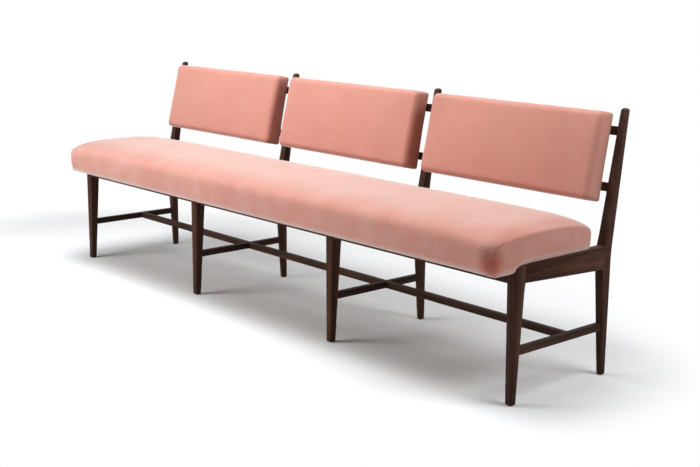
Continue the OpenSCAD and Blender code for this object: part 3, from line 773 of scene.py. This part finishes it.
def seat_section(distance, side):
    """The seat's section at a distance from an end, as y and z: rear hem, top, lip, and back under the lip."""
    front = SEAT_LOW.y + pull(distance, SEAT_FRONT_CORNER)
    back = SEAT_HIGH.y - pull(distance, SEAT_REAR_CORNER)
    fall = SEAT_END_DROP * pull(distance, SEAT_END_RUN) / SEAT_END_RUN
    crown = SEAT_HIGH.z - SEAT_SWELL - fall
    x = SEAT_HIGH.x - SEAT_SWELL - distance
    lip_z = SEAT_LOW.z + SEAT_LIP_RISE * smooth(distance / SEAT_FRONT_CORNER)
    slack = SEAT_SQUARENESS - SEAT_END_SQUARENESS
    power = 2 / (SEAT_SQUARENESS - slack * max(0, 1 - distance / SEAT_SQUARE_RUN) ** 2)
    middle, half = (front + back) / 2, (back - front) / 2
    angles = np.linspace(0, math.pi, 200)
    cosine, sine = np.cos(angles), np.sin(angles)
    over = np.stack([middle + half * np.sign(cosine) * abs(cosine) ** power,
                     SEAT_BELLY + (crown - SEAT_BELLY) * abs(sine) ** power], 1)
    # The front draws in towards the lip, and its rounded corner changes to the lip's
    lip_front = SEAT_LOW.y + pull(distance, SEAT_LIP_CORNERS[side > 0])
    tuck = [(lerp(front, lip_front, smooth(s)) + SEAT_FRONT_TUCK * (s ** 2 + s ** 7) / 2,
             lerp(SEAT_BELLY, lip_z, s)) for s in np.linspace(0, 1, 24)]
    hem_y = back - SEAT_BACK_TUCK
    hem_z = RAIL_TOP + CLOTH_GAP
    hem = [(hem_y - SEAT_HEM, hem_z), (hem_y, hem_z)]
    rear = [(hem_y, hem_z), (back - SEAT_BACK_TUCK / 4, (RAIL_TOP + SEAT_BELLY) / 2), (back, SEAT_BELLY)]
    # Under the lip the cloth passes below the batten that carries it
    under_z = SEAT_LOW.z + CLOTH_GAP
    under = [(lip_front + SEAT_FRONT_TUCK, lip_z), (NOSING_FRONT_Y - 0.002, under_z), (SEAT_LIP_Y, under_z)]
    over_leg = smooth((CREST_REACH - distance) / CREST_BLEND)
    behind = [(SEAT_LIP_Y, under_z)]
    for s in np.linspace(0, 1, 12):
        plain = (SEAT_LIP_Y + SEAT_LIP_BACK_RUN * s, lerp(under_z, RAIL_TOP, s) + CLOTH_GAP)
        hugging = (leg_top_y(s) - CREST_GAP, lerp(LEG_CREST_Z, RAIL_TOP, s) + CREST_GAP)
        behind.append((lerp(plain[0], hugging[0], over_leg), lerp(plain[1], hugging[1], over_leg)))
    # Each stretch with its number of points, of which it shares the first with the stretch before
    lines = [(hem, 3), (rear, 6), (over, 54), (tuck, 14), (under[:2], 3), (under[1:], 6), (behind, 9)]
    rows = [even(line, count)[1 if n else 0:] for n, (line, count) in enumerate(lines)]
    return side * x, np.concatenate(rows)


def seat_distances():
    """Distances from an end at which the sections stand: even round the front corner, then wider apart."""
    steps = 30
    corner = [SEAT_FRONT_CORNER * (1 - math.cos(math.radians(90 * k / steps))) for k in range(steps + 1)]
    end = list(np.linspace(SEAT_FRONT_CORNER, SEAT_END_RUN, 10)[1:])
    far = list(np.linspace(SEAT_END_RUN, SEAT_HIGH.x - SEAT_SWELL, 48)[1:])
    return corner + end + far


def make_seat():
    """The velvet over the whole seat, closed at both ends, swollen as cloth and folded at the corners."""
    distances = seat_distances()
    sections = [seat_section(d, -1) for d in distances]
    sections += [seat_section(d, 1) for d in reversed(distances[:-1])]
    columns = len(sections[0][1])
    points = [(x, y, z) for x, line in sections for y, z in line]
    faces = rows_of_faces(len(sections), columns)
    # Each end is closed by loops that shrink towards the middle of its face
    loops, bottom = 7, 24
    for side, row in ((-1, 0), (1, len(sections) - 1)):
        x, line = sections[row]
        start, end = line[-1], line[0]
        floor = [(lerp(start[0], end[0], k / (bottom + 1)), end[1]) for k in range(1, bottom + 1)]
        loop = list(line) + floor
        middle = (lerp(start[0], end[0], 0.5), lerp(RAIL_TOP, SEAT_HIGH.z - SEAT_END_DROP, 0.5))
        outer = [row * columns + k for k in range(columns)]
        outer += [len(points) + k for k in range(bottom)]
        points += [(x, y, z) for y, z in floor]
        for k in range(1, loops):
            t = k / loops
            first = len(points)
            bulge = SEAT_SWELL * math.sin(t * math.pi / 2)
            points += [(x + side * bulge, lerp(y, middle[0], t), lerp(z, middle[1], t)) for y, z in loop]
            inner = [first + n for n in range(len(loop))]
            ring = [(outer[n], outer[(n + 1) % len(loop)], inner[(n + 1) % len(loop)], inner[n])
                    for n in range(len(loop))]
            faces += [q if side > 0 else tuple(reversed(q)) for q in ring]
            outer = inner
        points.append((x + side * SEAT_SWELL, *middle))
        tip = [(outer[n], outer[(n + 1) % len(loop)], len(points) - 1) for n in range(len(loop))]
        faces += [q if side > 0 else tuple(reversed(q)) for q in tip]
    seat = make_piece("seat_cushion", points, faces, SEAT_VELVET, ["seat_cover", "seat_foam"])
    face_outward(seat)
    rail_z, lip_z = RAIL_TOP + SEAT_HELD_H, SEAT_LOW.z + LIP_HELD_H
    held = [n for n, (x, y, z) in enumerate(points) if z < (lip_z if y < SEAT_LIP_Y else rail_z)]
    inflate(seat, held, SEAT_SWELL)
    subdivide(seat)
    tuck_ends(seat)
    fold_corners(seat)
    ripple(seat, *SEAT_RIPPLE)


def tuck_ends(seat):
    """Each end turns in towards its lower edge, on the rail."""
    for vertex in seat.data.vertices:
        x, _, z = vertex.co
        low = 1 - (z - RAIL_TOP) / SEAT_END_TUCK_H
        near = smooth((SEAT_END_TUCK_H - (SEAT_HIGH.x - abs(x))) / SEAT_END_TUCK_H)
        if low > 0 and near > 0:
            vertex.co.x -= math.copysign(SEAT_END_TUCK * near * min(1, low) ** 2, x)


def beside(x, z, top, foot):
    """How far down a sloping line at the seat's end a place lies, as a share, and how far beside the line."""
    down = (top[1] - z) / (top[1] - foot[1])
    along = min(LINE_ENDS[1], max(LINE_ENDS[0], down))
    line = lerp(top[0], foot[0], along) * (1 if x > 0 else FOLD_LEFT_SHARE)
    return down, SEAT_HIGH.x - abs(x) - line


def fold_corners(seat):
    """The velvet is tucked at each front corner: a crease with a lip on its far side, over a dent."""
    mesh = seat.data
    normals = [v.normal.copy() for v in mesh.vertices]
    for vertex, normal in zip(mesh.vertices, normals):
        x, y, z = vertex.co
        near = smooth((SEAT_LOW.y + FOLD_REACH - y) / (FOLD_REACH / 2))
        if not near or SEAT_HIGH.x - abs(x) > FOLD_END_REACH:
            continue
        down, off = beside(x, z, DENT_TOP, DENT_FOOT)
        dent = near * within(down, DENT_SPAN)
        vertex.co.y += DENT_DEPTH * dent * (1 - smooth(off / DENT_RUN))
        down, off = beside(x, z, FOLD_TOP, FOLD_FOOT)
        crease = near * within(down, FOLD_SPAN)
        rise = FOLD_LIP * bell(off + FOLD_LIP_W, FOLD_LIP_W) - FOLD_DEPTH * bell(off, FOLD_W)
        vertex.co += normal * crease * rise
    mesh.update()


def ripple(piece, height, scale):
    """Slight unevenness of the padding: points move along their normals, less near the piece's foot."""
    mesh = piece.data
    foot = min(v.co.z for v in mesh.vertices)
    normals = [v.normal.copy() for v in mesh.vertices]
    for vertex, normal in zip(mesh.vertices, normals):
        steady = smooth((vertex.co.z - foot) / RIPPLE_RISE)
        vertex.co += normal * height * steady * noise.noise(vertex.co * scale)
    mesh.update()


# Back cushions

def cushion_point(u, v, w, width):
    """A point of a cushion's skin. u runs along it, v from back to front and w up, each from 0 to 1."""
    width -= 2 * CUSHION_SWELL
    height = CUSHION_H - 2 * CUSHION_SWELL
    thick = lerp(CUSHION_BOTTOM_T, CUSHION_TOP_T, w) - CUSHION_SWELL
    bow = 1 - (2 * w - 1) ** 2
    x, y, z = (u - 0.5) * width, v * thick, w * height
    side_r = lerp(CUSHION_REAR_R, CUSHION_FRONT_R, min(1, v * 1.4))
    core_x = min(max(x, side_r - width / 2), width / 2 - side_r)
    core_y = min(max(y, CUSHION_REAR_R), thick - CUSHION_FRONT_R)
    core_z = min(max(z, side_r), height - side_r)
    depth_r = CUSHION_REAR_R if y < core_y else CUSHION_FRONT_R
    out = Vector(((x - core_x) / side_r, (y - core_y) / depth_r, (z - core_z) / side_r))
    if out.length > 1e-9:
        out *= max(abs(out.x), abs(out.y), abs(out.z)) / out.length
    x, y, z = core_x + out.x * side_r, core_y + out.y * depth_r, core_z + out.z * side_r
    inner = abs(2 * u - 1)
    x -= CUSHION_DRAW_IN * bow * (2 * u - 1)
    y += CUSHION_CROWN * bow * (1 - inner * inner) * v
    return x, y, z + CUSHION_SWELL


def grid_lines(length, radius_low, radius_high, middle):
    """Fractions of a length at which a cushion's grid lines lie: close at both rounded edges."""
    low = [radius_low / length * k / 4 for k in range(5)]
    high = [1 - radius_high / length * k / 4 for k in range(4, -1, -1)]
    span = np.linspace(low[-1], high[0], middle + 2)[1:-1]
    return low + list(span) + high


def make_back_cushion(i):
    """The velvet round a back cushion: a grid over its six sides with rounded edges, swollen as cloth."""
    low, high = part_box(f"back_cover_{i}")
    width = high.x - low.x
    us = grid_lines(width, CUSHION_FRONT_R, CUSHION_FRONT_R, middle=42)
    vs = grid_lines(CUSHION_TOP_T, CUSHION_REAR_R, CUSHION_FRONT_R, middle=2)
    ws = grid_lines(CUSHION_H, CUSHION_FRONT_R, CUSHION_FRONT_R, middle=15)
    index, points, faces = {}, [], []

    def at(a, b, c):
        if (a, b, c) not in index:
            index[a, b, c] = len(points)
            points.append(cushion_point(us[a], vs[b], ws[c], width))
        return index[a, b, c]

    na, nb, nc = len(us) - 1, len(vs) - 1, len(ws) - 1
    for a in range(na):
        for c in range(nc):
            faces.append((at(a, nb, c), at(a, nb, c + 1), at(a + 1, nb, c + 1), at(a + 1, nb, c)))
            faces.append((at(a, 0, c), at(a + 1, 0, c), at(a + 1, 0, c + 1), at(a, 0, c + 1)))
        for b in range(nb):
            faces.append((at(a, b, 0), at(a, b + 1, 0), at(a + 1, b + 1, 0), at(a + 1, b, 0)))
            faces.append((at(a, b, nc), at(a + 1, b, nc), at(a + 1, b + 1, nc), at(a, b + 1, nc)))
    for b in range(nb):
        for c in range(nc):
            faces.append((at(0, b, c), at(0, b, c + 1), at(0, b + 1, c + 1), at(0, b + 1, c)))
            faces.append((at(na, b, c), at(na, b + 1, c), at(na, b + 1, c + 1), at(na, b, c + 1)))
    cover, lining = leaning_box(f"back_cover_{i}"), leaning_box(f"back_lining_{i}")
    origin = Vector(((low.x + high.x) / 2, lining[1].y, cover[0].z))
    # The skin of the cushion's back is let in by the lining's thickness where the lining lies on it
    skin = lining[1].y - lining[0].y
    half_w = (lining[1].x - lining[0].x) / 2
    foot, head = lining[0].z - cover[0].z, lining[1].z - cover[0].z
    placed = []
    for x, y, z in points:
        if abs(x) < half_w and foot < z < head:
            y = max(y, skin)
        placed.append(LEAN @ (origin + Vector((x, -y, z))))
    cushion = make_piece(f"back_cushion_{i}", placed, faces, VELVET,
                         [f"back_cover_{i}", f"back_foam_{i}"])
    face_outward(cushion)
    inflate(cushion, [n for n, (x, y, z) in enumerate(points) if y < CUSHION_HELD_T], CUSHION_SWELL)
    subdivide(cushion)
    ripple(cushion, *CUSHION_RIPPLE)


def leaning_box(node):
    """The lowest and highest corner of a node in the back cushions' leaning frame."""
    points = [LEAN.transposed() @ v.co for v in NODES[node].data.vertices]
    return [Vector([pick(p[k] for p in points) for k in range(3)]) for pick in (min, max)]


def lining_rise(x, z, low, high):
    """How far the lining stands proud of its plane: a folded hem, with puckers at its stitches."""
    across, up = min(x - low.x, high.x - x), min(z - low.z, high.z - z)
    edge, run = (up, x) if up <= across else (across, z)
    hem = HEM_RISE * smooth(edge / HEM_FOLD) * (1 - HEM_SINK_SHARE * smooth((edge - HEM_W) / HEM_FOLD))
    wave = math.cos(math.pi * run / STITCH_PITCH)
    return hem + PUCKER * wave * bell(edge - HEM_W, PUCKER_W) * smooth(edge / 0.002)


def make_lining(i):
    """The lining of a cushion's back: taut velvet with a folded hem all round."""
    low, high = leaning_box(f"back_lining_{i}")
    border = (0.0, HEM_FOLD, 0.004, HEM_W, HEM_W + HEM_FOLD, HEM_W + 0.004, 0.018, 0.026)

    def lines(start, end, count):
        middle = list(np.linspace(start + border[-1], end - border[-1], count + 2)[1:-1])
        return [start + b for b in border] + middle + [end - b for b in reversed(border)]

    xs, zs = lines(low.x, high.x, count=104), lines(low.z, high.z, count=28)
    rows, columns = len(zs), len(xs)
    points = [(x, high.y + lining_rise(x, z, low, high), z) for z in zs for x in xs]
    points += [(x, low.y + 0.0002, z) for z in zs for x in xs]
    faces = rows_of_faces(rows, columns)
    count = rows * columns
    faces += [tuple(n + count for n in reversed(face)) for face in rows_of_faces(rows, columns)]
    rim = list(range(columns)) + [r * columns + columns - 1 for r in range(1, rows)]
    rim += [(rows - 1) * columns + c for c in range(columns - 2, -1, -1)]
    rim += [r * columns for r in range(rows - 2, 0, -1)]
    faces += [(a, a + count, b + count, b) for a, b in zip(rim, rim[1:] + rim[:1])]
    placed = [LEAN @ Vector(p) for p in points]
    lining = make_piece(f"back_lining_sheet_{i}", placed, faces, VELVET, [f"back_lining_{i}"])
    face_outward(lining)


def make_stitches(i):
    """Slanted stitches that sew a lining's hem to the cover."""
    low, high = leaning_box(f"back_lining_{i}")
    points, faces = [], []
    sides, rounds = 6, 7

    def stitch(at, along, outward):
        first = len(points)
        start = at - outward * STITCH_IN - along * STITCH_SLANT
        end = at + outward * STITCH_OUT + along * STITCH_SLANT
        way = (end - start).normalized()
        proud = Vector((0, 1, 0))
        flank = way.cross(proud)
        for s in range(rounds):
            t = s / (rounds - 1)
            middle = start.lerp(end, t) + proud * (STITCH_ARCH * math.sin(math.pi * t) - STITCH_SINK)
            r = STITCH_R * math.sqrt(max(0.04, 1 - (2 * t - 1) ** 4))
            for k in range(sides):
                angle = 2 * math.pi * k / sides
                points.append(LEAN @ (middle + proud * (r * math.cos(angle)) + flank * (r * math.sin(angle))))
        faces.extend(tuple(first + n for n in face) for face in rows_of_faces(rounds, sides, closed=True))
        faces.append(tuple(first + n for n in reversed(range(sides))))
        faces.append(tuple(len(points) - sides + n for n in range(sides)))

    y = high.y + HEM_RISE
    for start, end, outward in (
            ((low.x, low.z), (high.x, low.z), (0, -1)), ((low.x, high.z), (high.x, high.z), (0, 1)),
            ((low.x, low.z), (low.x, high.z), (-1, 0)), ((high.x, low.z), (high.x, high.z), (1, 0))):
        a, b = Vector((start[0], y, start[1])), Vector((end[0], y, end[1]))
        count = int((b - a).length / STITCH_PITCH)
        for n in range(count):
            stitch(a.lerp(b, (n + 0.5) / count), (b - a).normalized(), Vector((outward[0], 0, outward[1])))
    stitches = make_piece(f"back_stitches_{i}", points, faces, THREAD, [])
    face_outward(stitches)


# Camera, light and floor

def make_camera():
    """The photograph's camera, from its azimuth, elevation and roll."""
    data = bpy.data.cameras.new("camera")
    data.lens = CAMERA_LENS
    data.shift_y = CAMERA_SHIFT_Y
    camera = bpy.data.objects.new("camera", data)
    bpy.context.scene.collection.objects.link(camera)
    a, e, r = (math.radians(v) for v in (CAMERA_AZIMUTH, CAMERA_ELEVATION, CAMERA_ROLL))
    ahead = Vector((-math.sin(a) * math.cos(e), math.cos(a) * math.cos(e), -math.sin(e)))
    level = Vector((math.cos(a), math.sin(a), 0))
    up = level.cross(ahead)
    right = math.cos(r) * level + math.sin(r) * up
    over = math.cos(r) * up - math.sin(r) * level
    turn = Matrix((right, over, -ahead)).transposed().to_4x4()
    camera.matrix_world = Matrix.Translation(CAMERA_PLACE) @ turn
    bpy.context.scene.camera = camera


def area_light(name, place, target, size, power):
    data = bpy.data.lights.new(name, "AREA")
    data.shape = "RECTANGLE"
    data.size, data.size_y = size
    data.energy = power
    light = bpy.data.objects.new(name, data)
    bpy.context.scene.collection.objects.link(light)
    light.location = place
    light.rotation_euler = (Vector(target) - Vector(place)).to_track_quat("-Z", "Y").to_euler()


def camera_ray(tree):
    """1 for rays from the camera, and for those reflected or passed on by something glossy or clear."""
    path = add_node(tree, "ShaderNodeLightPath")
    total = add_node(tree, "ShaderNodeMath", {
        0: path.outputs["Is Camera Ray"], 1: path.outputs["Is Glossy Ray"]}, operation="ADD")
    total = add_node(tree, "ShaderNodeMath", {
        0: total.outputs[0], 1: path.outputs["Is Transmission Ray"]}, operation="ADD", use_clamp=True)
    return total.outputs[0]


def make_world():
    """A faint even light all round, which the camera sees as plain white."""
    world = bpy.data.worlds.new("studio")
    bpy.context.scene.world = world
    world.use_nodes = True
    tree = world.node_tree
    tree.nodes.clear()
    lit = add_node(tree, "ShaderNodeBackground", {"Color": (1, 1, 1, 1), "Strength": WORLD_LEVEL})
    seen = add_node(tree, "ShaderNodeBackground", {"Color": (1, 1, 1, 1), "Strength": 1.0})
    mix = add_node(tree, "ShaderNodeMixShader", {0: camera_ray(tree), 1: lit.outputs[0], 2: seen.outputs[0]})
    tree.links.new(mix.outputs[0], add_node(tree, "ShaderNodeOutputWorld").inputs["Surface"])


def make_floor():
    """White paper under the bench, which takes its shadow."""
    corners = [(x * FLOOR_HALF, y * FLOOR_HALF, 0) for x, y in ((-1, -1), (1, -1), (1, 1), (-1, 1))]
    mesh = bpy.data.meshes.new("floor")
    mesh.from_pydata(corners, [], [(0, 1, 2, 3)])
    floor = bpy.data.objects.new("floor", mesh)
    bpy.context.scene.collection.objects.link(floor)
    material = bpy.data.materials.new("studio_floor")
    material.use_nodes = True
    tree = material.node_tree
    tree.nodes.clear()
    # The camera sees the floor lit white near the bench, with its shadow, and plain white further off
    paper = add_node(tree, "ShaderNodeBsdfDiffuse", {"Color": (*PAPER, 1)})
    bright = add_node(tree, "ShaderNodeBsdfDiffuse", {"Color": (*LIT_PAPER, 1)})
    glow = add_node(tree, "ShaderNodeEmission", {"Color": (1, 1, 1, 1), "Strength": 1.0})
    place = add_node(tree, "ShaderNodeMapping", {
        "Vector": own_place(tree),
        "Location": (-WHITE_MIDDLE[0] / WHITE_FROM[0], -WHITE_MIDDLE[1] / WHITE_FROM[1], 0),
        "Scale": (1 / WHITE_FROM[0], 1 / WHITE_FROM[1], 0),
    })
    distance = add_node(tree, "ShaderNodeVectorMath", {0: place.outputs[0]}, operation="LENGTH")
    far = ramp(tree, distance.outputs["Value"], [(WHITE_SHARES[0], grey(0.0)), (WHITE_SHARES[1], grey(1.0))])
    seen = add_node(tree, "ShaderNodeMixShader", {0: far, 1: bright.outputs[0], 2: glow.outputs[0]})
    mix = add_node(tree, "ShaderNodeMixShader", {
        0: camera_ray(tree), 1: paper.outputs[0], 2: seen.outputs[0]})
    tree.links.new(mix.outputs[0], add_node(tree, "ShaderNodeOutputMaterial").inputs["Surface"])
    mesh.materials.append(material)


def dress(node, material, edge=0.0):
    """Gives a CAD node its material, and rounds its edges where a radius is given."""
    piece = NODES[node]
    piece.data.materials.clear()
    piece.data.materials.append(material)
    if edge:
        bevel = piece.modifiers.new("edges", "BEVEL")
        bevel.width = edge
        bevel.segments = 3
        bevel.limit_method = "ANGLE"
        bevel.angle_limit = math.radians(30)
        bevel.use_clamp_overlap = True


RAIL_AT, _ = slicer("side_rail_1", 1)
make_camera()
make_world()
make_floor()
for name, lamp in LAMPS.items():
    area_light(name, *lamp)

for i in FRAMES:
    make_upright(f"front_leg_{i}", LEG_EDGE, LEG_TOP_RUN, rail_behind=True)
    make_upright(f"back_post_{i}", POST_EDGE, POST_TOP_RUN, rail_behind=False)
    make_side_rail(f"side_rail_{i}")
    dress(f"side_stretcher_{i}", STRETCHER_Y, STRETCHER_EDGE)
for i in BAYS:
    for rail in ("front_rail", "rear_rail", "lower_back_rail", "upper_back_rail"):
        dress(f"{rail}_{i}", WALNUT_X, STRETCHER_EDGE)
    dress(f"corner_blocks_{i}", PALE_WOOD, BLOCK_EDGE)
    dress(f"back_panel_{i}", PLYWOOD)
    make_lining(i)
    make_stitches(i)
    make_back_cushion(i)
dress("long_stretcher", STRETCHER_X, STRETCHER_EDGE)
dress("seat_board", PLYWOOD)
dress("seat_nosing", PALE_WOOD)
make_screws("seat_screws", Vector((0, 0, 1)))
make_screws("back_screws", LEAN @ Vector((0, -1, 0)))
dress("foot_pads", FELT)
make_seat()

view = bpy.context.scene.view_settings
view.view_transform = "Standard"
